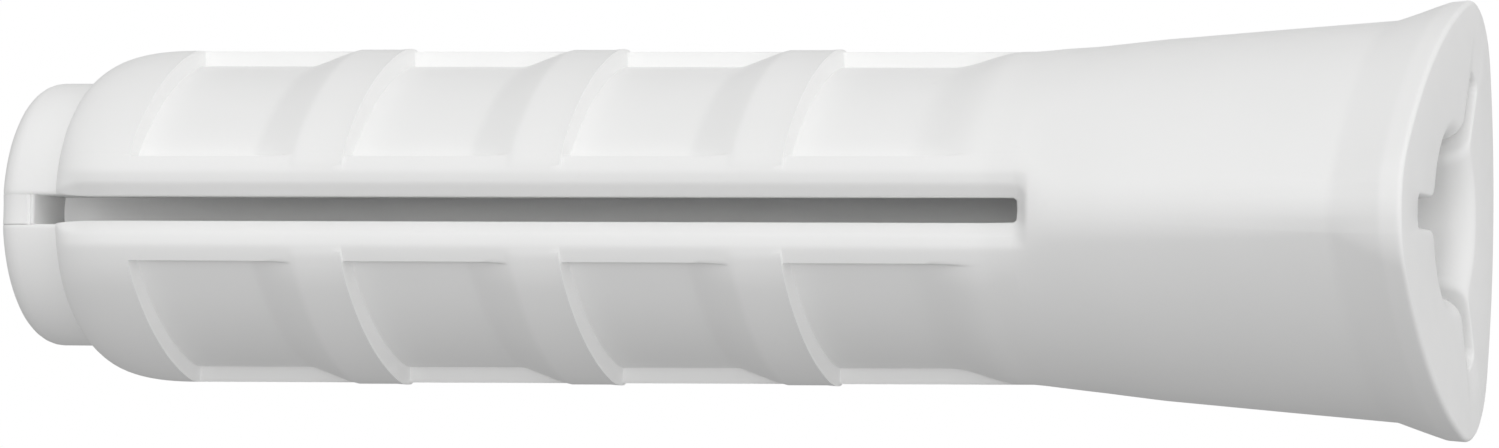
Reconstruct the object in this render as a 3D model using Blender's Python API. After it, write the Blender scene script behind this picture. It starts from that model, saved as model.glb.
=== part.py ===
"""Expanding wall plug, 8 x 40 mm: a flared collar, a neck and three barbed legs split by slots.

Frame: metres, +X out of the wall along the screw, +Z up. The origin is the centre of the collar's
outer face, which lies flush with the wall. The front slot faces -Y and the tip is at X = -LENGTH.

The plug is moulded in one piece. Each zone with its own job is a separate solid here: the collar,
the neck, three living hinges, three expansion legs and the three webs that tie the leg tips.
Lengths below are in millimetres and angles in degrees.
"""

import math

import bmesh
import bpy
from mathutils import Vector

MM = 0.001
LEGS = 3
SECTOR = 360 / LEGS

# Overall
LENGTH = 40.0
COLLAR_LENGTH = 2.0
SLOT_LENGTH = 29.2
SLOT_HALF_WIDTH = 0.41
LIP_CHAMFER = 0.3

# Cross-sections are rounded triangles: (corner centre to axis, corner radius, side arc centre to axis)
TIP_SECTION = (0.0, 3.64, 0.0)
BODY_FRONT_SECTION = (1.78, 3.06, 4.64)
BODY_REAR_SECTION = (1.74, 2.97, 4.52)
MOUTH_SECTION = (4.09, 2.36, 9.87)

# Tip and nose
TIP_LENGTH = 1.85
TIP_EDGE_RADIUS = 0.6
NOSE_LENGTH = 2.4
NOSE_FULLNESS = 2.6

# Barbs: each leg has a row of shallow windows with a sharp step at the tip side and a ramp behind
BARBS = 4
FIRST_BARB = LENGTH - 35.75
BARB_PITCH = 6.19
WINDOW_DEPTH = 0.43
FLOOR_LENGTH = 3.4
RAMP_LENGTH = 1.4
CREST_RISE = 0.06
LAND_HALF_WIDTH = 1.0
STRIP_HALF_WIDTH = 1.42
STRIP_DRAFT = 0.11
STEP_DRAFT = 0.06
LAST_RAMP_START = -14.0
LAST_RAMP_END = -11.9

# Neck and collar: (distance from the collar face, blend from the body section to the mouth section)
NECK_PROFILE = ((11.6, 0.0), (8.3, 0.27), (5.1, 0.46), (2.0, 0.64), (1.25, 0.82), (0.6, 0.97), (0.12, 1.0))
RIM_EDGE = 0.12

# Corner radius of those sections, which tightens to a ridge along the neck: (distance, radius)
NECK_CORNERS = ((11.6, 2.97), (10.8, 2.7), (9.9, 1.72), (5.1, 1.52), (2.0, 1.25), (1.0, 1.9), (0.0, 2.36))

# Screw bore and the grooves that lead from it towards the slots
BORE_PROFILE = ((0.0, 2.4), (0.8, 2.1), (12.0, 2.0), (30.0, 1.3))
GROOVE_HALF_WIDTH = 0.44
GROOVE_RADIUS_MOUTH = 4.4
GROOVE_RADIUS_ROOT = 4.0

# Webs across the slots at the tip, as deep as the legs' wall
WEB_LENGTH = 1.1
WEB_RECESS = 0.05
WEB_GAP = 0.1

# Hinges and split lines
HINGE_LENGTH = 0.8
SPLIT_GAP = 0.1
SWING_GAP = 0.2
HINGE_RADIUS = 2.6

# Mesh density
TIP_EDGE_STEPS = 3
NOSE_STEPS = 5
FLOOR_POINTS = 6
HALF_POINTS = 4 + FLOOR_POINTS
SMOOTHING_LIMIT = 30

NYLON_COLOUR = (0.9, 0.9, 0.895)
NYLON_ROUGHNESS = 0.45


def blend(a, b, t):
    return tuple(p + (q - p) * t for p, q in zip(a, b))


def interpolate(profile, distance):
    """Value of a (distance, value) profile, sorted either way."""
    points = sorted(profile)
    if distance <= points[0][0]:
        return points[0][1]
    for (d0, v0), (d1, v1) in zip(points, points[1:]):
        if distance <= d1:
            return v0 + (v1 - v0) * (distance - d0) / (d1 - d0)
    return points[-1][1]


def with_corner(section, radius):
    """Rounded triangle of the same height and side distance with another corner radius."""
    centre, old_radius, side_centre = section
    half_sector = math.radians(SECTOR / 2)
    to_side = math.hypot(centre + side_centre * math.cos(half_sector), side_centre * math.sin(half_sector))
    side_arc = old_radius + to_side - side_centre - radius
    new_centre = centre + (old_radius - radius) / math.sin(half_sector)
    new_side = (new_centre**2 - side_arc**2) / (2 * side_arc - new_centre)
    return (new_centre, radius, new_side)


def outer_section(x):
    """Rounded triangle of the plug's outside at x."""
    from_tip = x + LENGTH
    if from_tip < TIP_EDGE_RADIUS:
        rise = math.sqrt(1 - (1 - from_tip / TIP_EDGE_RADIUS) ** 2)
        return (0.0, TIP_SECTION[1] - TIP_EDGE_RADIUS * (1 - rise), 0.0)
    if from_tip <= TIP_LENGTH:
        return TIP_SECTION
    if from_tip < TIP_LENGTH + NOSE_LENGTH:
        to_end = 1 - (from_tip - TIP_LENGTH) / NOSE_LENGTH
        rise = (1 - to_end**NOSE_FULLNESS) ** (1 / NOSE_FULLNESS)
        return blend(TIP_SECTION, BODY_FRONT_SECTION, rise)
    neck_start = -NECK_PROFILE[0][0]
    if x < neck_start:
        nose_end = TIP_LENGTH + NOSE_LENGTH - LENGTH
        return blend(BODY_FRONT_SECTION, BODY_REAR_SECTION, (x - nose_end) / (neck_start - nose_end))
    section = blend(BODY_REAR_SECTION, MOUTH_SECTION, interpolate(NECK_PROFILE, -x))
    return with_corner(section, interpolate(NECK_CORNERS, -x))


def window_depth(x):
    """How far the surface between the strips lies below them at x; negative on a barb's crest."""
    from_first = x + LENGTH - FIRST_BARB - STEP_DRAFT / 2
    if from_first < 0:
        return 0.0
    barb = min(int(from_first / BARB_PITCH), BARBS - 1)
    run = from_first - barb * BARB_PITCH
    if barb == BARBS - 1:
        t = (x - LAST_RAMP_START) / (LAST_RAMP_END - LAST_RAMP_START)
        return WINDOW_DEPTH * (1 - min(max(t, 0.0), 1.0))
    t = min(max((run - FLOOR_LENGTH) / RAMP_LENGTH, 0.0), 1.0)
    return WINDOW_DEPTH - (WINDOW_DEPTH + CREST_RISE) * t


def side_arc(section):
    """Side arc's centre and radius, and the angle of the outward normal where it meets the corner."""
    centre, radius, side_centre = section
    half_sector = math.radians(SECTOR / 2)
    side = (-side_centre * math.cos(half_sector), -side_centre * math.sin(half_sector))
    reach = math.hypot(centre - side[0], side[1])
    corner_end = math.atan2(-side[1], centre - side[0]) if reach else half_sector
    return side, radius + reach, corner_end


def surface_point(section, angle, depth=0.0):
    """Point (out from the vertex, sideways) whose outward normal is at an angle of 0 to 60 degrees."""
    side, side_radius, corner_end = side_arc(section)
    if angle <= corner_end:
        side, side_radius = (section[0], 0.0), section[1]
    return (
        side[0] + (side_radius - depth) * math.cos(angle),
        side[1] + (side_radius - depth) * math.sin(angle),
    )


def normal_angle(section, sideways):
    """Angle of the outward normal at a distance sideways from the vertex."""
    side, side_radius, corner_end = side_arc(section)
    if sideways <= section[1] * math.sin(corner_end):
        return math.asin(sideways / section[1])
    return math.asin((sideways - side[1]) / side_radius)


def half_outline(x, with_slot):
    """Outside from a slot's edge, or the vertex, to the middle of the leg."""
    section = outer_section(x)
    if x > -RIM_EDGE:
        section = (section[0], section[1] - RIM_EDGE - x, section[2])

    def at(sideways):
        return surface_point(section, normal_angle(section, sideways))

    lip = SLOT_HALF_WIDTH + LIP_CHAMFER
    land = at(LAND_HALF_WIDTH)
    if not with_slot:
        points = [at(0.0), at(lip), land]
    elif x > TIP_LENGTH - LENGTH:
        points = [(land[0] - LIP_CHAMFER, SLOT_HALF_WIDTH), (land[0], lip), land]
    else:
        points = [at(SLOT_HALF_WIDTH), at(lip), land]
    points.append(at(STRIP_HALF_WIDTH))
    floor = normal_angle(section, STRIP_HALF_WIDTH + STRIP_DRAFT)
    for step in range(FLOOR_POINTS):
        angle = floor + (math.radians(SECTOR / 2) - floor) * step / (FLOOR_POINTS - 1)
        points.append(surface_point(section, angle, window_depth(x)))
    return points


def bore_half_outline(x, grooved):
    """Inside from a slot face, or the middle of a groove, to the middle of the leg."""
    radius = interpolate(BORE_PROFILE, -x)
    if grooved:
        reach = interpolate(((0.0, GROOVE_RADIUS_MOUTH), (LENGTH - SLOT_LENGTH, GROOVE_RADIUS_ROOT)), -x)
        points = [(reach, 0.0), (reach, GROOVE_HALF_WIDTH)]
        half_width = GROOVE_HALF_WIDTH
    else:
        points = []
        half_width = SLOT_HALF_WIDTH
    start = math.asin(half_width / radius)
    steps = HALF_POINTS - len(points) - 1
    for step in range(steps + 1):
        angle = start + (math.radians(SECTOR / 2) - start) * step / steps
        points.append((radius * math.cos(angle), radius * math.sin(angle)))
    return points


def whole_sector(half):
    """Mirrors a half outline about the middle of its leg."""
    turn = math.radians(SECTOR)
    mirrored = [
        (out * math.cos(turn) + side * math.sin(turn), out * math.sin(turn) - side * math.cos(turn))
        for out, side in reversed(half[:-1])
    ]
    return half + mirrored


def place(x, point, sector):
    """Vertex in metres: sector 0 starts at the front slot and the angle runs from -Y to +Z."""
    out, side = point
    turn = math.radians(SECTOR * sector)
    across = out * math.cos(turn) - side * math.sin(turn)
    height = out * math.sin(turn) + side * math.cos(turn)
    return Vector((x, -across, height)) * MM


def nylon(name):
    material = bpy.data.materials.new(name)
    material.use_nodes = True
    shader = material.node_tree.nodes["Principled BSDF"]
    shader.inputs["Base Color"].default_value = (*NYLON_COLOUR, 1.0)
    shader.inputs["Roughness"].default_value = NYLON_ROUGHNESS
    shader.inputs["Metallic"].default_value = 0.0
    return material


def add_object(name, mesh_data, origin=Vector()):
    """Makes the piece an object whose origin is on its joint's axis."""
    bmesh.ops.recalc_face_normals(mesh_data, faces=mesh_data.faces)
    for vertex in mesh_data.verts:
        vertex.co -= origin
    mesh = bpy.data.meshes.new(name)
    mesh_data.to_mesh(mesh)
    mesh_data.free()
    mesh.materials.append(nylon(name + "_nylon"))
    mesh.shade_smooth()
    mesh.set_sharp_from_angle(angle=math.radians(SMOOTHING_LIMIT))
    piece = bpy.data.objects.new(name, mesh)
    piece.location = origin
    bpy.data.collections["wall_plug"].objects.link(piece)
    return piece


def skin(mesh_data, rings):
    """Side faces between closed rings of like count."""
    for near, far in zip(rings, rings[1:]):
        for i in range(len(near)):
            j = (i + 1) % len(near)
            mesh_data.faces.new((near[i], near[j], far[j], far[i]))


def loft(name, stations, outline, sector, origin=Vector()):
    """Solid through a closed outline at each station: its outer points, then as many inner ones back."""
    mesh_data = bmesh.new()
    rings = [[mesh_data.verts.new(place(x, point, sector)) for point in outline(x)] for x in stations]
    skin(mesh_data, rings)
    for ring in (rings[0], rings[-1]):
        for i in range(len(ring) // 2 - 1):
            mesh_data.faces.new((ring[i], ring[i + 1], ring[-i - 2], ring[-i - 1]))
    return add_object(name, mesh_data, origin)


def sleeve(name, stations):
    """Tube whose outside is the plug's and whose inside is the grooved bore."""
    mesh_data = bmesh.new()
    walls = []
    for make_half in (
        lambda x: half_outline(x, with_slot=False),
        lambda x: bore_half_outline(x, grooved=True),
    ):
        rings = []
        for x in stations:
            outline = whole_sector(make_half(x))[:-1]
            rings.append(
                [mesh_data.verts.new(place(x, point, k)) for k in range(LEGS) for point in outline]
            )
        skin(mesh_data, rings)
        walls.append(rings)
    outside, inside = walls
    skin(mesh_data, [outside[0], inside[0]])
    skin(mesh_data, [outside[-1], inside[-1]])
    return add_object(name, mesh_data)


def leg_outline(x):
    outside = whole_sector(half_outline(x, with_slot=True))
    inside = whole_sector(bore_half_outline(x, grooved=False))
    return outside + inside[::-1]


def web_outline(x):
    out = outer_section(x)[1] - WEB_RECESS
    half_width = SLOT_HALF_WIDTH - WEB_GAP
    inner = interpolate(BORE_PROFILE, -x)
    return [(out, -half_width), (out, half_width), (inner, half_width), (inner, -half_width)]


def round_stations(start, length, steps):
    """Stations along a quarter round, closer together where it is steep."""
    quarter = math.pi / 2
    return [start + length * (1 - math.cos(quarter * step / steps)) for step in range(steps + 1)]


def profile_stations(near, far):
    """Stations between two distances from the collar's face, with one at each bend of a profile."""
    bends = {distance for distance, _ in NECK_PROFILE + NECK_CORNERS + BORE_PROFILE}
    between = {distance for distance in bends if near < distance < far}
    return [0.0 - distance for distance in sorted({near, far} | between)]


def leg_stations(end):
    stations = round_stations(-LENGTH, TIP_EDGE_RADIUS, TIP_EDGE_STEPS)
    stations += round_stations(TIP_LENGTH - LENGTH, NOSE_LENGTH, NOSE_STEPS)[:-1]
    for barb in range(BARBS):
        step = FIRST_BARB + barb * BARB_PITCH - LENGTH
        stations += [step, step + STEP_DRAFT]
        if barb < BARBS - 1:
            stations += [step + FLOOR_LENGTH, step + FLOOR_LENGTH + RAMP_LENGTH]
    return stations + [LAST_RAMP_START, end]


def hinge_point(sector, x):
    """Point on a leg's hinge axis: the middle of its wall, halfway between its two slots."""
    half_sector = math.radians(SECTOR / 2)
    point = (HINGE_RADIUS * math.cos(half_sector), HINGE_RADIUS * math.sin(half_sector))
    return place(x, point, sector)


def add_collar():
    stations = profile_stations(0.0, COLLAR_LENGTH - SPLIT_GAP / 2)
    sleeve("collar", [stations[0], -RIM_EDGE / 2, *stations[1:]])


def add_neck():
    sleeve("neck", profile_stations(COLLAR_LENGTH + SPLIT_GAP / 2, LENGTH - SLOT_LENGTH))


def add_legs():
    hinge_end = LENGTH - SLOT_LENGTH + SPLIT_GAP
    hinge_start = hinge_end + HINGE_LENGTH
    leg_end = -hinge_start - SWING_GAP
    web_stations = round_stations(-LENGTH, TIP_EDGE_RADIUS, TIP_EDGE_STEPS) + [WEB_LENGTH - LENGTH]
    for sector in range(LEGS):
        number = sector + 1
        pivot = hinge_point(sector, leg_end + SWING_GAP / 2)
        hinge_stations = profile_stations(hinge_end, hinge_start)
        loft(f"living_hinge_{number}", hinge_stations, leg_outline, sector)
        leg = loft(f"leg_{number}", leg_stations(leg_end), leg_outline, sector, pivot)
        web = loft(f"tip_web_{number}", web_stations, web_outline, sector, pivot)
        web.parent = leg
        web.location = (0, 0, 0)


def clear_scene():
    for item in list(bpy.data.objects):
        bpy.data.objects.remove(item)
    plug = bpy.data.collections.new("wall_plug")
    bpy.context.scene.collection.children.link(plug)


clear_scene()
add_collar()
add_neck()
add_legs()
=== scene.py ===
"""Studio picture of a white nylon wall plug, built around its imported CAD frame.

The plug is one moulding. The head piece is the collar with the neck behind it, each leg piece runs
from the neck to the tip through its living hinge, and a short web bridges each slot at the tip.
Lengths are in millimetres until a point is placed in the frame. +X points out of the wall.
"""

import math

import bmesh
import bpy
from mathutils import Matrix, Vector


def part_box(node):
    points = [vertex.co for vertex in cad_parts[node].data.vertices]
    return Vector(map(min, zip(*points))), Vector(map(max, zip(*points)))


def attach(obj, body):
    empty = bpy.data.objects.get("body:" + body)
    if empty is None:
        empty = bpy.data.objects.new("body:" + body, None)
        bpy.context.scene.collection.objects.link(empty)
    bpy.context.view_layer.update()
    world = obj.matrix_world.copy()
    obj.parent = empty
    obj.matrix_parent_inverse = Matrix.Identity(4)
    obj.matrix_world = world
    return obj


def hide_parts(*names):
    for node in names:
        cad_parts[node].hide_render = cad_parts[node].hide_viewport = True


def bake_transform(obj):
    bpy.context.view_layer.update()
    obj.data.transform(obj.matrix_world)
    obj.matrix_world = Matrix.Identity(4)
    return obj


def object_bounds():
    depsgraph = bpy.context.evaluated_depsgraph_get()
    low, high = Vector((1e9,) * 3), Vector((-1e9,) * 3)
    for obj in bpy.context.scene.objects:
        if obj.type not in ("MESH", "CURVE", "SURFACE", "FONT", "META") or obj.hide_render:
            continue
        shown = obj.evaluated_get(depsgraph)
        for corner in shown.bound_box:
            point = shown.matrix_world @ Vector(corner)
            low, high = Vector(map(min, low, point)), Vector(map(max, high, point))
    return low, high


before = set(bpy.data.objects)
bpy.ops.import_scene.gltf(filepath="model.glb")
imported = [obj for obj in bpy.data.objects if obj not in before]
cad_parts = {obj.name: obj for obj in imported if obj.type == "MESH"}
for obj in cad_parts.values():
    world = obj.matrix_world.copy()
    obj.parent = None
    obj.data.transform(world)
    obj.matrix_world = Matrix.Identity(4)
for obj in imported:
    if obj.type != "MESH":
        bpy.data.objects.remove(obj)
cad_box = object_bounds()
MM = 0.001


# Camera. A long lens looks at the plug nearly side on, a little from the mouth's end and slightly
# from below, so that the flared face with its bore is seen at a slant.

CAMERA_TARGET = Vector((-19.48, 0.0, -0.21))
CAMERA_DISTANCE = 213.9
CAMERA_AZIMUTH = 17.52
CAMERA_ELEVATION = -2.20
CAMERA_ROLL = 0.85
LENS = 189.75


def camera_turn(azimuth, elevation, roll):
    """Rotation of a camera that looks back along its azimuth and elevation."""
    a, e, r = (math.radians(angle) for angle in (azimuth, elevation, roll))
    back = Vector((math.sin(a) * math.cos(e), -math.cos(a) * math.cos(e), math.sin(e)))
    right = Vector((math.cos(a), math.sin(a), 0.0))
    up = back.cross(right)
    rolled_right = right * math.cos(r) + up * math.sin(r)
    rolled_up = up * math.cos(r) - right * math.sin(r)
    return Matrix((rolled_right, rolled_up, back)).transposed()


camera_data = bpy.data.cameras.new("studio_camera")
camera_data.lens = LENS
camera_data.sensor_width = 36.0
camera_data.sensor_fit = "HORIZONTAL"
camera_data.clip_start = 0.01
camera_data.clip_end = 20.0
camera = bpy.data.objects.new("studio_camera", camera_data)
turn = camera_turn(CAMERA_AZIMUTH, CAMERA_ELEVATION, CAMERA_ROLL)
camera.matrix_world = Matrix.LocRotScale(
    (CAMERA_TARGET + turn.col[2] * CAMERA_DISTANCE) * MM, turn.to_quaternion(), None
)
bpy.context.scene.collection.objects.link(camera)
bpy.context.scene.camera = camera
bpy.context.scene.view_settings.view_transform = "Standard"


# Studio. A light tent, a little brighter overhead, has three soft boxes: a broad one above the
# camera, one at the mouth's side and a small bright one that shines level into the front slot. The
# plug hangs well above a plain pale floor, in front of white card.

TENT_GLOW = 0.4
OVERHEAD_GLOW = 0.14
OVERHEAD_COSINES = (-0.5, 1.0)
# Each soft box: direction to it, cosines of the angles at its edge and at its full glow, and glow
SOFT_BOXES = (
    ((-0.1, -0.84, 0.545), (0.6, 0.97), 0.58),
    ((1.0, -0.2, 0.15), (0.4, 0.95), 0.56),
    ((0.25, -0.97, 0.01), (0.99, 0.998), 13.0),
)
WHITE = (1.0, 1.0, 1.0, 1.0)
FLOOR_COLOUR = (0.86, 0.86, 0.85, 1.0)
FLOOR_DROP = 30.0
FLOOR_HALF_SIZE = 700.0


def ranged(tree, value, source, target=(0.0, 1.0)):
    """Output that goes smoothly through the target range as the value goes through the source range."""
    node = tree.nodes.new("ShaderNodeMapRange")
    node.interpolation_type = "SMOOTHSTEP"
    for name, number in zip(("From Min", "From Max", "To Min", "To Max"), (*source, *target)):
        node.inputs[name].default_value = number
    tree.links.new(value, node.inputs["Value"])
    return node.outputs["Result"]


def calculated(tree, operation, a, b):
    """Result of a sum or product of two values, each a socket or a number."""
    node = tree.nodes.new("ShaderNodeMath")
    node.operation = operation
    for socket, value in zip(node.inputs, (a, b)):
        if isinstance(value, bpy.types.NodeSocket):
            tree.links.new(value, socket)
        else:
            socket.default_value = value
    return node.outputs["Value"]


def glow_towards(tree, direction, aim, cosines, glow):
    """Glow that goes through its range as a direction turns towards the aim."""
    facing = tree.nodes.new("ShaderNodeVectorMath")
    facing.operation = "DOT_PRODUCT"
    facing.inputs[1].default_value = Vector(aim).normalized()
    tree.links.new(direction, facing.inputs[0])
    return ranged(tree, facing.outputs["Value"], cosines, glow)


world = bpy.data.worlds.new("light_tent")
world.use_nodes = True
bpy.context.scene.world = world
sky = world.node_tree
sky_direction = sky.nodes.new("ShaderNodeTexCoord").outputs["Generated"]
overhead = (TENT_GLOW, TENT_GLOW + OVERHEAD_GLOW)
total_glow = glow_towards(sky, sky_direction, (0.0, 0.0, 1.0), OVERHEAD_COSINES, overhead)
for aim, cosines, strength in SOFT_BOXES:
    box_glow = glow_towards(sky, sky_direction, aim, cosines, (0.0, strength))
    total_glow = calculated(sky, "ADD", total_glow, box_glow)
tent = sky.nodes["Background"]
tent.inputs["Color"].default_value = WHITE
sky.links.new(total_glow, tent.inputs["Strength"])
white_card = sky.nodes.new("ShaderNodeBackground")
white_card.inputs["Color"].default_value = WHITE
light_path = sky.nodes.new("ShaderNodeLightPath")
seen = sky.nodes.new("ShaderNodeMixShader")
sky.links.new(light_path.outputs["Is Camera Ray"], seen.inputs["Fac"])
sky.links.new(tent.outputs["Background"], seen.inputs[1])
sky.links.new(white_card.outputs["Background"], seen.inputs[2])
sky.links.new(seen.outputs["Shader"], sky.nodes["World Output"].inputs["Surface"])

floor_material = bpy.data.materials.new("pale_floor")
floor_material.use_nodes = True
floor_shader = floor_material.node_tree.nodes["Principled BSDF"]
floor_shader.inputs["Base Color"].default_value = FLOOR_COLOUR
floor_shader.inputs["Roughness"].default_value = 0.9
bpy.ops.mesh.primitive_plane_add(size=2 * FLOOR_HALF_SIZE * MM)
floor = bpy.context.object
floor.name = "studio_floor"
floor.location = (CAMERA_TARGET.x * MM, 0.0, cad_box[0][2] - FLOOR_DROP * MM)
floor.data.materials.append(floor_material)
floor.visible_diffuse = False
floor.visible_glossy = False


# Head: the flared three-cornered collar and the closed neck behind it, one sleeve round the screw
# bore. It is injection moulded white nylon, and its back end is where the three slots stop.

LEGS = 3
SECTOR = 360 / LEGS
TIP_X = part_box("leg_1")[0].x / MM
SLOT_END_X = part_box("neck")[0].x / MM

# Outside sections are rounded triangles: corner centre to axis, corner radius, side arc centre to axis
TIP_SECTION = (0.0, 3.64, 0.0)
BODY_FRONT_SECTION = (1.78, 3.06, 4.64)
BODY_REAR_SECTION = (1.74, 2.97, 4.52)
MOUTH_SECTION = (4.09, 2.34, 9.87)
TIP_LENGTH = 1.85
TIP_EDGE_RADIUS = 0.6
NOSE_LENGTH = 2.4
NOSE_FULLNESS = 2.6
# By distance from the mouth: share of the way from the body's section to the mouth's; corner radius
NECK_PROFILE = ((11.6, 0.0), (8.3, 0.27), (5.1, 0.46), (2.0, 0.64), (1.25, 0.82), (0.6, 0.97), (0.0, 1.0))
NECK_CORNERS = ((11.6, 2.97), (10.8, 2.7), (9.9, 1.72), (5.1, 1.52), (2.0, 1.25), (1.0, 1.9), (0.0, 2.34))
RIM_EDGE = 0.14

# A slot has a chamfered lip. Beside it lies a tilted land, and a plain strip up to the windows' walls
SLOT_HALF_WIDTH = 0.41
SLOT_END_ROUND = 0.12
SLOT_END_STRETCH = 1.5
LIP_CHAMFER = 0.3
LIP_ROUND = 0.03
TIP_LIP_SHARE = 0.15
LAND_HALF_WIDTH = 1.0
LAND_TILT = 0.16
LAND_ROUND = 0.03
LAND_LEAD = 0.1
LAND_FADE_IN = 1.0
LAND_FADE_OUT = 0.5
STRIP_HALF_WIDTH = 1.42
STRIP_WALL = 0.11

# Screw bore: radius by distance from the mouth, past a round funnel
FUNNEL_DEPTH = 0.8
FUNNEL_RISE = 0.55
BORE_PROFILE = ((FUNNEL_DEPTH, 2.1), (12.0, 2.0), (30.0, 1.3))
# Groove at the mouth and at the slots' end: half width, reach from the axis, rounding at the bore
GROOVE_MOUTH = (0.4, 4.38, 0.42)
GROOVE_ROOT = (SLOT_HALF_WIDTH, 4.0, 0.08)
GROOVE_CORNER = 0.3
GROOVE_CORNER_STEPS = 3
GROOVE_FLARE = 0.1
GROOVE_FLARE_DEPTH = 0.3
TOOTH_STEPS = 6

# Spacing of the mesh: room for fine columns and stations past a crease, and columns on a flat side
CREASE_MARGIN = 0.06
FADE_MARGIN = 0.1
FLARE_LENGTH = 2.3
MOUTH_SPREAD = 0.25
FLOOR_COLUMNS = 18
SHARP_ANGLE = 42


def mix(a, b, t):
    """Values a share t of the way from those of a to those of b."""
    return tuple(p + (q - p) * t for p, q in zip(a, b))


def smooth(start, end, value):
    """0 before start, 1 after end, with a smooth rise between them."""
    t = min(max((value - start) / (end - start), 0.0), 1.0)
    return t * t * (3 - 2 * t)


def soft_positive(value, width):
    """The value where it is positive and nearly 0 where it isn't, with a round corner."""
    return (value + math.hypot(value, width)) / 2


def interpolate(profile, distance):
    """Value of a profile of (distance, value) points, sorted either way."""
    points = sorted(profile)
    if distance <= points[0][0]:
        return points[0][1]
    for (d0, v0), (d1, v1) in zip(points, points[1:]):
        if distance <= d1:
            return v0 + (v1 - v0) * (distance - d0) / (d1 - d0)
    return points[-1][1]


def spaced(start, end, steps):
    """Evenly spaced values from start up to, but without, the end."""
    return [start + (end - start) * step / steps for step in range(steps)]


def graded(stretches, end):
    """Values through stretches of (start, steps), each spaced up to the next one's start or the end."""
    values = []
    for (start, steps), (stretch_end, _) in zip(stretches, [*stretches[1:], (end, 0)]):
        values += spaced(start, stretch_end, steps)
    return values


def quarter_round(start, length, steps):
    """Values from start over a length, close together where a quarter round is steep."""
    return [start + length * (1 - math.cos(math.pi / 2 * step / steps)) for step in range(steps)]


def with_corner(section, radius):
    """Rounded triangle of the same height and side distance with another corner radius."""
    centre, old_radius, side_centre = section
    half_turn = math.radians(SECTOR / 2)
    to_side = math.hypot(centre + side_centre * math.cos(half_turn), side_centre * math.sin(half_turn))
    beyond_corner = old_radius + to_side - side_centre - radius
    new_centre = centre + (old_radius - radius) / math.sin(half_turn)
    new_side = (new_centre**2 - beyond_corner**2) / (2 * beyond_corner - new_centre)
    return (new_centre, radius, new_side)


def outer_section(x):
    """Rounded triangle of the plug's outside at x."""
    from_tip = x - TIP_X
    if from_tip < TIP_EDGE_RADIUS:
        rise = math.sqrt(1 - (1 - max(from_tip, 0.0) / TIP_EDGE_RADIUS) ** 2)
        return (0.0, TIP_SECTION[1] - TIP_EDGE_RADIUS * (1 - rise), 0.0)
    if from_tip <= TIP_LENGTH:
        return TIP_SECTION
    if from_tip < TIP_LENGTH + NOSE_LENGTH:
        to_end = 1 - (from_tip - TIP_LENGTH) / NOSE_LENGTH
        rise = (1 - to_end**NOSE_FULLNESS) ** (1 / NOSE_FULLNESS)
        return mix(TIP_SECTION, BODY_FRONT_SECTION, rise)
    neck_start = -NECK_PROFILE[0][0]
    if x < neck_start:
        nose_end = TIP_X + TIP_LENGTH + NOSE_LENGTH
        return mix(BODY_FRONT_SECTION, BODY_REAR_SECTION, (x - nose_end) / (neck_start - nose_end))
    section = mix(BODY_REAR_SECTION, MOUTH_SECTION, interpolate(NECK_PROFILE, -x))
    section = with_corner(section, interpolate(NECK_CORNERS, -x))
    if x > -RIM_EDGE:
        bite = RIM_EDGE - math.sqrt(RIM_EDGE**2 - (x + RIM_EDGE) ** 2)
        return (section[0], section[1] - bite, section[2])
    return section


def past_tip(x):
    """0 on the tip's cylinder and 1 from where the nose has risen."""
    start = TIP_X + TIP_LENGTH - LAND_LEAD
    return smooth(start, start + LAND_FADE_IN, x)


def land_depth(x, sideways, radius):
    """How far the land along a slot, tilted towards it, lies below the round corner."""
    share = past_tip(x) * (1 - smooth(SLOT_END_X, SLOT_END_X + LAND_FADE_OUT, x))
    if share == 0:
        return 0.0
    fall = math.sqrt(radius**2 - sideways**2) - math.sqrt(radius**2 - LAND_HALF_WIDTH**2)
    return soft_positive(fall + LAND_TILT * (LAND_HALF_WIDTH - sideways), LAND_ROUND) * share


def slot_half_width(x):
    """Half the slot's width, which rounds off at its closed end."""
    into_round = min(max(x - SLOT_END_X + SLOT_END_ROUND, 0.0), SLOT_END_ROUND)
    return SLOT_HALF_WIDTH - SLOT_END_ROUND + math.sqrt(SLOT_END_ROUND**2 - into_round**2)


def column_place(x, column):
    """Sideways place of a column: beside a slot it follows the rounded end, and spreads at the mouth."""
    if column < SLOT_HALF_WIDTH:
        return column
    rounding = SLOT_HALF_WIDTH - slot_half_width(x)
    shift = rounding - (rounding + MOUTH_SPREAD) * smooth(SLOT_END_X + LAND_FADE_OUT, 0.0, x)
    towards_land = (column - SLOT_HALF_WIDTH) / (LAND_HALF_WIDTH - SLOT_HALF_WIDTH)
    return column - shift * max(1 - towards_land, 0.0)


def lip_depth(x, sideways):
    """Depth of the chamfer that runs along a slot and, stretched, round its closed end."""
    beyond_end = max(x - SLOT_END_X, 0.0) / SLOT_END_STRETCH
    along = min(max(x - SLOT_END_X + SLOT_END_ROUND, 0.0), SLOT_END_ROUND) + beyond_end
    across = max(sideways - SLOT_HALF_WIDTH + SLOT_END_ROUND, 0.0)
    distance = max(math.hypot(along, across) - SLOT_END_ROUND, 0.0)
    edge = LIP_ROUND * max(1 - distance / LIP_ROUND, 0.0) ** 2
    share = TIP_LIP_SHARE + (1 - TIP_LIP_SHARE) * past_tip(x)
    return soft_positive(LIP_CHAMFER * share - distance, LIP_ROUND) + edge


def section_arcs(section):
    """Corner arc's centre and radius, side arc's centre and radius, and the angle where they meet."""
    centre, radius, side_centre = section
    half_sector = math.radians(SECTOR / 2)
    side = (-side_centre * math.cos(half_sector), -side_centre * math.sin(half_sector))
    reach = math.hypot(centre - side[0], side[1])
    meeting = math.atan2(-side[1], centre - side[0]) if reach else half_sector
    return (centre, 0.0), radius, side, radius + reach, meeting


def normal_angle(section, sideways):
    """Angle of the outward normal at a distance sideways from the corner."""
    _, radius, side, side_radius, meeting = section_arcs(section)
    if sideways <= radius * math.sin(meeting):
        return math.asin(sideways / radius)
    return math.asin((sideways - side[1]) / side_radius)


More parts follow.
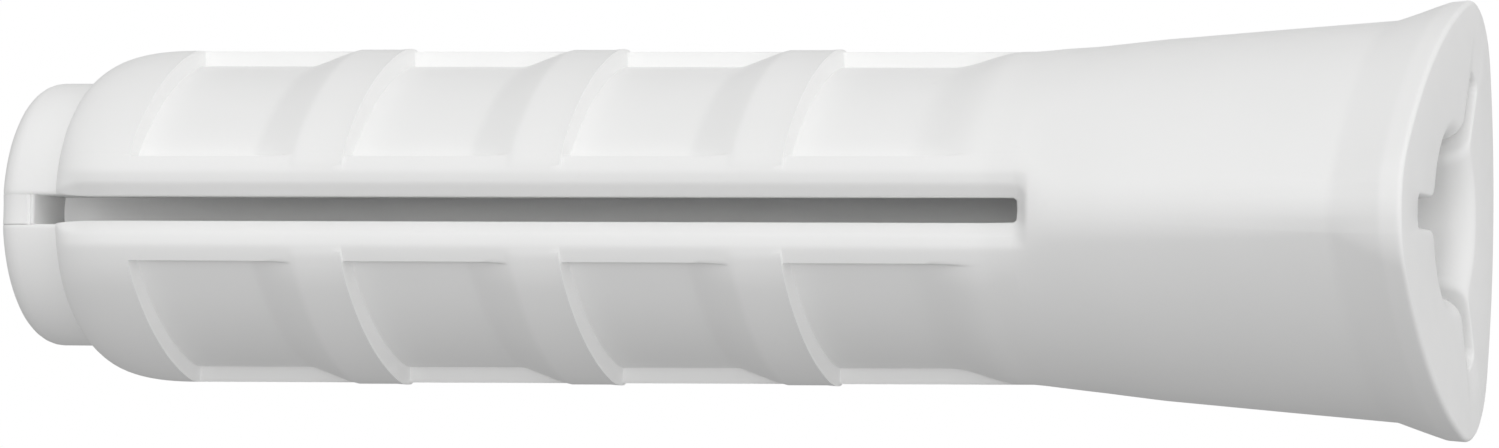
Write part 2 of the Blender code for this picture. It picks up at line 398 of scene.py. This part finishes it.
def corner_point(section, angle, depth):
    """Point (out from the corner, sideways) whose outward normal is at an angle from 0 to 60 degrees."""
    corner, radius, side, side_radius, meeting = section_arcs(section)
    centre, reach = (corner, radius) if angle <= meeting else (side, side_radius)
    return (
        centre[0] + (reach - depth) * math.cos(angle),
        centre[1] + (reach - depth) * math.sin(angle),
    )


# Columns run along the plug, close together at the lip, at the land's crease and at the window's wall
BRIDGE_COLUMNS = spaced(0.0, SLOT_HALF_WIDTH, 3)
LEG_COLUMNS = graded(
    [
        (SLOT_HALF_WIDTH, 3),
        (SLOT_HALF_WIDTH + LIP_ROUND, 7),
        (SLOT_HALF_WIDTH + LIP_CHAMFER + CREASE_MARGIN, 2),
        (LAND_HALF_WIDTH - CREASE_MARGIN, 5),
        (LAND_HALF_WIDTH + 3 * CREASE_MARGIN, 3),
        (STRIP_HALF_WIDTH, 6),
    ],
    STRIP_HALF_WIDTH + STRIP_WALL,
)


def no_window(x, sideways):
    """Window depth of a piece that has no windows."""
    return 0.0


def outside_half(x, columns, window_depth):
    """Outside from the first column to the middle between two slots."""
    section = outer_section(x)
    points = []
    for column in columns:
        sideways = column_place(x, column)
        depth = land_depth(x, sideways, section[1]) + lip_depth(x, sideways) + window_depth(x, sideways)
        points.append(corner_point(section, normal_angle(section, sideways), depth))
    wall_end = STRIP_HALF_WIDTH + STRIP_WALL
    first = normal_angle(section, wall_end)
    for step in range(FLOOR_COLUMNS):
        angle = first + (math.radians(SECTOR / 2) - first) * step / (FLOOR_COLUMNS - 1)
        points.append(corner_point(section, angle, window_depth(x, wall_end)))
    return points


def bore_radius(x):
    """Radius of the screw bore, with a round funnel at the mouth."""
    depth = -x
    if depth < FUNNEL_DEPTH:
        return BORE_PROFILE[0][1] + FUNNEL_RISE * (1 - math.sqrt(1 - (1 - depth / FUNNEL_DEPTH) ** 2))
    return interpolate(BORE_PROFILE, depth)


def bore_half(x, count, grooved):
    """Inside from the middle of a groove, or a slot's face, to the middle between two slots."""
    radius = bore_radius(x)
    half_width, reach, tooth = mix(GROOVE_MOUTH, GROOVE_ROOT, min(x / SLOT_END_X, 1.0))
    to_face = max(1 + x / GROOVE_FLARE_DEPTH, 0.0)
    flare = GROOVE_FLARE * (1 - math.sqrt(1 - to_face**2))
    half_width = half_width + flare if grooved else slot_half_width(x)
    tooth_centre = (math.sqrt((radius + tooth) ** 2 - (half_width + tooth) ** 2), half_width + tooth)
    points = []
    if grooved:
        reach += flare
        points += [(reach, sideways) for sideways in spaced(0.0, half_width - GROOVE_CORNER, 2)]
        for step in range(GROOVE_CORNER_STEPS + 1):
            turned = math.pi / 2 * step / GROOVE_CORNER_STEPS
            out = reach - GROOVE_CORNER * (1 - math.cos(turned))
            points.append((out, half_width - GROOVE_CORNER * (1 - math.sin(turned))))
        points += [(out, half_width) for out in spaced(reach - GROOVE_CORNER, tooth_centre[0], 3)[1:]]
    bearing = math.atan2(tooth_centre[1], tooth_centre[0])
    for angle in spaced(1.5 * math.pi, math.pi + bearing, TOOTH_STEPS):
        points.append(
            (tooth_centre[0] + tooth * math.cos(angle), tooth_centre[1] + tooth * math.sin(angle))
        )
    steps = count - len(points) - 1
    for step in range(steps + 1):
        angle = bearing + (math.radians(SECTOR / 2) - bearing) * step / steps
        points.append((radius * math.cos(angle), radius * math.sin(angle)))
    return points


def whole_sector(half):
    """Mirrors a half outline about the middle between two slots."""
    angle = math.radians(SECTOR)
    mirrored = [
        (out * math.cos(angle) + side * math.sin(angle), out * math.sin(angle) - side * math.cos(angle))
        for out, side in reversed(half[:-1])
    ]
    return half + mirrored


def place(x, point, sector):
    """Point in metres: sector 0 starts at the front slot and the angle runs from -Y to +Z."""
    out, side = point
    angle = math.radians(SECTOR * sector)
    across = out * math.cos(angle) - side * math.sin(angle)
    height = out * math.sin(angle) + side * math.cos(angle)
    return Vector((x, -across, height)) * MM


def skin(mesh_data, rings):
    """Side faces between closed rings of like count."""
    for near, far in zip(rings, rings[1:]):
        for i in range(len(near)):
            j = (i + 1) % len(near)
            mesh_data.faces.new((near[i], near[j], far[j], far[i]))


def add_piece(name, mesh_data, material):
    """Makes the piece an object in the row frame, smooth but for its real edges."""
    bmesh.ops.recalc_face_normals(mesh_data, faces=mesh_data.faces)
    mesh = bpy.data.meshes.new(name)
    mesh_data.to_mesh(mesh)
    mesh_data.free()
    mesh.materials.append(material)
    mesh.shade_smooth()
    mesh.set_sharp_from_angle(angle=math.radians(SHARP_ANGLE))
    piece = bpy.data.objects.new(name, mesh)
    bpy.context.scene.collection.objects.link(piece)
    return piece


def new_group(name, inputs, outputs):
    """Empty shader node group: each input is (name, socket type, value) and each output (name, type)."""
    group = bpy.data.node_groups.new(name, "ShaderNodeTree")
    for socket_name, kind, value in inputs:
        socket = group.interface.new_socket(socket_name, in_out="INPUT", socket_type=kind)
        socket.default_value = value
    for socket_name, kind in outputs:
        group.interface.new_socket(socket_name, in_out="OUTPUT", socket_type=kind)
    return group, group.nodes.new("NodeGroupInput"), group.nodes.new("NodeGroupOutput")


def noise(tree, position, scale, detail, roughness=0.5):
    """Value of a noise texture; the scale is in cells per metre."""
    texture = tree.nodes.new("ShaderNodeTexNoise")
    texture.inputs["Scale"].default_value = scale
    texture.inputs["Detail"].default_value = detail
    texture.inputs["Roughness"].default_value = roughness
    tree.links.new(position, texture.inputs["Vector"])
    return texture.outputs["Fac"]


def mixed_colour(tree, share, a, b):
    """Colour a share of the way from one colour socket to another."""
    node = tree.nodes.new("ShaderNodeMix")
    node.data_type = "RGBA"
    tree.links.new(share, node.inputs["Factor"])
    tree.links.new(a, node.inputs["A"])
    tree.links.new(b, node.inputs["B"])
    return node.outputs["Result"]


def make_grain_group():
    """Spark-eroded mould grain: a fine even pebble with faint draw lines along the plug."""
    group, inside, outside = new_group(
        "moulded_grain",
        [
            ("Position", "NodeSocketVector", (0.0, 0.0, 0.0)),
            ("Pebble", "NodeSocketFloat", 1.0),
            ("Draw Lines", "NodeSocketFloat", 0.3),
        ],
        [("Height", "NodeSocketFloat"), ("Gloss Mask", "NodeSocketFloat")],
    )
    medium_share = 1.4
    line_stretch = (0.03, 1.0, 1.0)
    position = inside.outputs["Position"]
    fine = noise(group, position, scale=9000.0, detail=3.0, roughness=0.6)
    medium = noise(group, position, scale=1600.0, detail=2.0)
    stretch = group.nodes.new("ShaderNodeVectorMath")
    stretch.operation = "MULTIPLY"
    stretch.inputs[1].default_value = line_stretch
    group.links.new(position, stretch.inputs[0])
    lines = noise(group, stretch.outputs["Vector"], scale=4200.0, detail=2.0)
    pebble = calculated(group, "ADD", fine, calculated(group, "MULTIPLY", medium, medium_share))
    pebble = calculated(group, "MULTIPLY", pebble, inside.outputs["Pebble"])
    lines = calculated(group, "MULTIPLY", lines, inside.outputs["Draw Lines"])
    group.links.new(calculated(group, "ADD", pebble, lines), outside.inputs["Height"])
    group.links.new(ranged(group, medium, (0.35, 0.65)), outside.inputs["Gloss Mask"])
    return group


def make_tone_group():
    """Colour of the resin: slow flow marks and a very light dusting from handling."""
    group, inside, outside = new_group(
        "nylon_tone",
        [
            ("Position", "NodeSocketVector", (0.0, 0.0, 0.0)),
            ("Resin", "NodeSocketColor", (0.96, 0.96, 0.956, 1.0)),
            ("Flow", "NodeSocketColor", (0.948, 0.949, 0.944, 1.0)),
            ("Dust", "NodeSocketColor", (0.7, 0.69, 0.67, 1.0)),
            ("Dust Amount", "NodeSocketFloat", 0.1),
        ],
        [("Color", "NodeSocketColor"), ("Dust Mask", "NodeSocketFloat")],
    )
    position = inside.outputs["Position"]
    flow = ranged(group, noise(group, position, scale=230.0, detail=3.0), (0.35, 0.68))
    specks = ranged(group, noise(group, position, scale=2600.0, detail=4.0, roughness=0.65), (0.6, 0.78))
    patches = ranged(group, noise(group, position, scale=420.0, detail=2.0), (0.42, 0.7))
    dust = calculated(group, "MULTIPLY", specks, patches)
    dust_share = calculated(group, "MULTIPLY", dust, inside.outputs["Dust Amount"])
    resin = mixed_colour(group, flow, inside.outputs["Resin"], inside.outputs["Flow"])
    dusty = mixed_colour(group, dust_share, resin, inside.outputs["Dust"])
    group.links.new(dusty, outside.inputs["Color"])
    group.links.new(dust, outside.inputs["Dust Mask"])
    return group


GRAIN_HEIGHT = 0.006
DUST_ROUGHNESS = 0.1
grain_group = make_grain_group()
tone_group = make_tone_group()


def moulded_nylon(name, resin, flow, dust_amount, pebble, draw_lines, roughness):
    """Satin white nylon with mould grain, flow marks and a trace of handling."""
    material = bpy.data.materials.new(name)
    material.use_nodes = True
    tree = material.node_tree
    shader = tree.nodes["Principled BSDF"]
    shader.inputs["IOR"].default_value = 1.5
    shader.inputs["Specular IOR Level"].default_value = 0.4
    position = tree.nodes.new("ShaderNodeTexCoord").outputs["Object"]
    tone = tree.nodes.new("ShaderNodeGroup")
    tone.node_tree = tone_group
    tone.inputs["Resin"].default_value = (*resin, 1.0)
    tone.inputs["Flow"].default_value = (*flow, 1.0)
    tone.inputs["Dust Amount"].default_value = dust_amount
    tree.links.new(position, tone.inputs["Position"])
    grain = tree.nodes.new("ShaderNodeGroup")
    grain.node_tree = grain_group
    grain.inputs["Pebble"].default_value = pebble
    grain.inputs["Draw Lines"].default_value = draw_lines
    tree.links.new(position, grain.inputs["Position"])
    gloss = ranged(tree, grain.outputs["Gloss Mask"], (0.0, 1.0), roughness)
    dulling = calculated(tree, "MULTIPLY", tone.outputs["Dust Mask"], DUST_ROUGHNESS)
    bump = tree.nodes.new("ShaderNodeBump")
    bump.inputs["Strength"].default_value = 0.35
    bump.inputs["Distance"].default_value = GRAIN_HEIGHT * MM
    tree.links.new(grain.outputs["Height"], bump.inputs["Height"])
    tree.links.new(tone.outputs["Color"], shader.inputs["Base Color"])
    tree.links.new(calculated(tree, "ADD", gloss, dulling), shader.inputs["Roughness"])
    tree.links.new(bump.outputs["Normal"], shader.inputs["Normal"])
    return material


head_nylon = moulded_nylon(
    "head_nylon",
    resin=(0.96, 0.96, 0.956),
    flow=(0.948, 0.949, 0.944),
    dust_amount=0.08,
    pebble=1.0,
    draw_lines=0.25,
    roughness=(0.42, 0.5),
)
head_mesh = bmesh.new()
head_columns = BRIDGE_COLUMNS + LEG_COLUMNS
head_stations = quarter_round(0.0, -RIM_EDGE, 6)
head_stations += graded(
    [
        (-RIM_EDGE, 8),
        (-FUNNEL_DEPTH, 10),
        (-FLARE_LENGTH, 24),
        (SLOT_END_X + LAND_FADE_OUT + FADE_MARGIN, 12),
    ],
    SLOT_END_X,
)
head_stations.append(SLOT_END_X)


def head_wall(half_outline):
    """Outside or inside wall of the head, from half an outline at each station; gives its rings."""
    rings = []
    for x in head_stations:
        outline = whole_sector(half_outline(x))[:-1]
        points = [place(x, point, sector) for sector in range(LEGS) for point in outline]
        rings.append([head_mesh.verts.new(point) for point in points])
    skin(head_mesh, rings)
    return rings


head_outside = head_wall(lambda x: outside_half(x, head_columns, no_window))
head_inside = head_wall(lambda x: bore_half(x, len(head_columns) + FLOOR_COLUMNS, grooved=True))
for end in (0, -1):
    skin(head_mesh, [head_outside[end], head_inside[end]])
head = add_piece("plug_head", head_mesh, head_nylon)
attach(head, "head")
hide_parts("collar", "neck")


# Expansion legs: three strips of the same moulding between the slots, each from its living hinge at
# the neck to its share of the tip. Four shallow windows leave barbs that grip the drilled hole.

BARBS = 4
BARB_PITCH = 6.19
BARB_STEPS = [TIP_X + TIP_LENGTH + NOSE_LENGTH + barb * BARB_PITCH for barb in range(BARBS)]
WINDOW_DEPTH = 0.43
STEP_DRAFT = 0.08
FLOOR_LENGTH = 3.4
RAMP_LENGTH = 1.4
RAMP_ROUND = 0.1
RAMP_MARGIN = 0.2
CREST_RISE = 0.06
CREST_FADE = 0.3
LAST_RAMP_START = -14.0
LAST_RAMP_END = -11.9


def window_profile(x):
    """Depth of the window floor at x; negative on a barb's crest."""
    passed = [step for step in BARB_STEPS if x >= step]
    if not passed:
        return 0.0
    run = x - passed[-1]
    crest = CREST_RISE if len(passed) > 1 else 0.0
    floor_depth = (WINDOW_DEPTH + crest) * smooth(0.0, STEP_DRAFT, run) - crest
    if len(passed) == BARBS:
        return floor_depth * (1 - smooth(LAST_RAMP_START, LAST_RAMP_END, x))
    t = min(max((run - FLOOR_LENGTH) / RAMP_LENGTH, 0.0), 1.0)
    rounding = soft_positive(t - 1, RAMP_ROUND) + soft_positive(0.0, RAMP_ROUND) * (1 - t)
    rise = max(soft_positive(t, RAMP_ROUND) - rounding, 0.0)
    return floor_depth - (WINDOW_DEPTH + CREST_RISE) * rise


def leg_window(x, sideways):
    """Window depth at a place: a walled recess beside the strip, or a crest that fades into it."""
    depth = window_profile(x)
    if depth > 0:
        return depth * smooth(STRIP_HALF_WIDTH, STRIP_HALF_WIDTH + STRIP_WALL, sideways)
    return depth * smooth(LAND_HALF_WIDTH, LAND_HALF_WIDTH + CREST_FADE, sideways)


def leg_stations():
    """Stations from the tip to the neck, close together at each edge."""
    nose_start = TIP_X + TIP_LENGTH
    round_start = SLOT_END_X - SLOT_END_ROUND
    stations = quarter_round(TIP_X, TIP_EDGE_RADIUS, 7)
    stations += spaced(TIP_X + TIP_EDGE_RADIUS, nose_start, 3)
    stations += quarter_round(nose_start, NOSE_LENGTH, 16)
    for step in BARB_STEPS[:-1]:
        ramp = step + FLOOR_LENGTH
        crest = ramp + RAMP_LENGTH
        stations += graded(
            [
                (step, 6),
                (step + STEP_DRAFT, 7),
                (ramp - RAMP_MARGIN, 3),
                (ramp + RAMP_MARGIN, 4),
                (crest - RAMP_MARGIN, 4),
                (crest + RAMP_MARGIN, 4),
            ],
            step + BARB_PITCH,
        )
    last_step = BARB_STEPS[-1]
    stations += graded(
        [(last_step, 6), (last_step + STEP_DRAFT, 8), (LAST_RAMP_START, 12), (LAST_RAMP_END, 4)],
        round_start,
    )
    to_slot_end = reversed(quarter_round(0.0, SLOT_END_ROUND, 6))
    return stations + [round_start] + [SLOT_END_X - distance for distance in to_slot_end]


def close_ends(mesh_data, rings):
    """End faces of a strip whose rings run along one side and back along the other."""
    for ring in (rings[0], rings[-1]):
        for i in range(len(ring) // 2 - 1):
            mesh_data.faces.new((ring[i], ring[i + 1], ring[-i - 2], ring[-i - 1]))


leg_nylon = moulded_nylon(
    "leg_nylon",
    resin=(0.96, 0.96, 0.956),
    flow=(0.948, 0.949, 0.944),
    dust_amount=0.1,
    pebble=1.0,
    draw_lines=0.35,
    roughness=(0.42, 0.5),
)
for sector in range(LEGS):
    number = sector + 1
    leg_mesh = bmesh.new()
    rings = []
    for x in leg_stations():
        outside = whole_sector(outside_half(x, LEG_COLUMNS, leg_window))
        inside = whole_sector(bore_half(x, len(LEG_COLUMNS) + FLOOR_COLUMNS, grooved=False))
        rings.append([leg_mesh.verts.new(place(x, point, sector)) for point in outside + inside[::-1]])
    skin(leg_mesh, rings)
    close_ends(leg_mesh, rings)
    leg = add_piece(f"expansion_leg_{number}", leg_mesh, leg_nylon)
    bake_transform(leg)
    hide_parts(f"leg_{number}", f"living_hinge_{number}")


# Tip webs: short bridges left across the slots at the tip, which tie the legs until the screw
# tears them. They are moulded with the legs, reach in to the bore and lie a little below the tip's
# outside, with a fine notch near their rear edge.

WEB_LENGTH = (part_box("tip_web_1")[1].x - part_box("tip_web_1")[0].x) / MM
WEB_RECESS = 0.03
WEB_GAP = 0.006
WEB_EDGE = 0.1
WEB_SAG = 0.02
WEB_HALF_STEPS = 6
NOTCH_DEPTH = 0.07
NOTCH_HALF_WIDTH = 0.07
NOTCH_TO_REAR = 0.14


def web_outline(x):
    """Rounded strip between two slot faces: its outer points, then as many inner ones back."""
    to_rear = TIP_X + WEB_LENGTH - x
    to_end = min(x - TIP_X, to_rear)
    bite = WEB_EDGE - math.sqrt(WEB_EDGE**2 - max(WEB_EDGE - to_end, 0.0) ** 2)
    notch = NOTCH_DEPTH * max(1 - abs(to_rear - NOTCH_TO_REAR) / NOTCH_HALF_WIDTH, 0.0)
    outer = outer_section(x)[1] - WEB_RECESS - bite - notch
    inner = bore_radius(x) + bite
    half_width = SLOT_HALF_WIDTH - WEB_GAP
    sides = [half_width * step / WEB_HALF_STEPS for step in range(-WEB_HALF_STEPS, WEB_HALF_STEPS + 1)]
    front = [(outer - WEB_SAG * (1 - (side / half_width) ** 2), side) for side in sides]
    return front + [(math.sqrt(inner**2 - side**2), side) for side in reversed(sides)]


web_nylon = moulded_nylon(
    "web_nylon",
    resin=(0.962, 0.962, 0.958),
    flow=(0.95, 0.951, 0.946),
    dust_amount=0.05,
    pebble=0.8,
    draw_lines=0.2,
    roughness=(0.4, 0.48),
)
web_rear = TIP_X + WEB_LENGTH
notch_start = web_rear - NOTCH_TO_REAR - NOTCH_HALF_WIDTH
web_stations = quarter_round(TIP_X, WEB_EDGE, 4)
web_stations += quarter_round(TIP_X + WEB_EDGE, TIP_EDGE_RADIUS - WEB_EDGE, 6)
web_stations += spaced(TIP_X + TIP_EDGE_RADIUS, notch_start, 3)
web_stations += [notch_start, web_rear - NOTCH_TO_REAR]
web_stations += [web_rear - distance for distance in reversed(quarter_round(0.0, WEB_EDGE, 5))]
for sector in range(LEGS):
    number = sector + 1
    web_mesh = bmesh.new()
    rings = []
    for x in web_stations:
        rings.append([web_mesh.verts.new(place(x, point, sector)) for point in web_outline(x)])
    skin(web_mesh, rings)
    close_ends(web_mesh, rings)
    web = add_piece(f"leg_tip_web_{number}", web_mesh, web_nylon)
    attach(web, f"leg_{number}")
    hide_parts(f"tip_web_{number}")
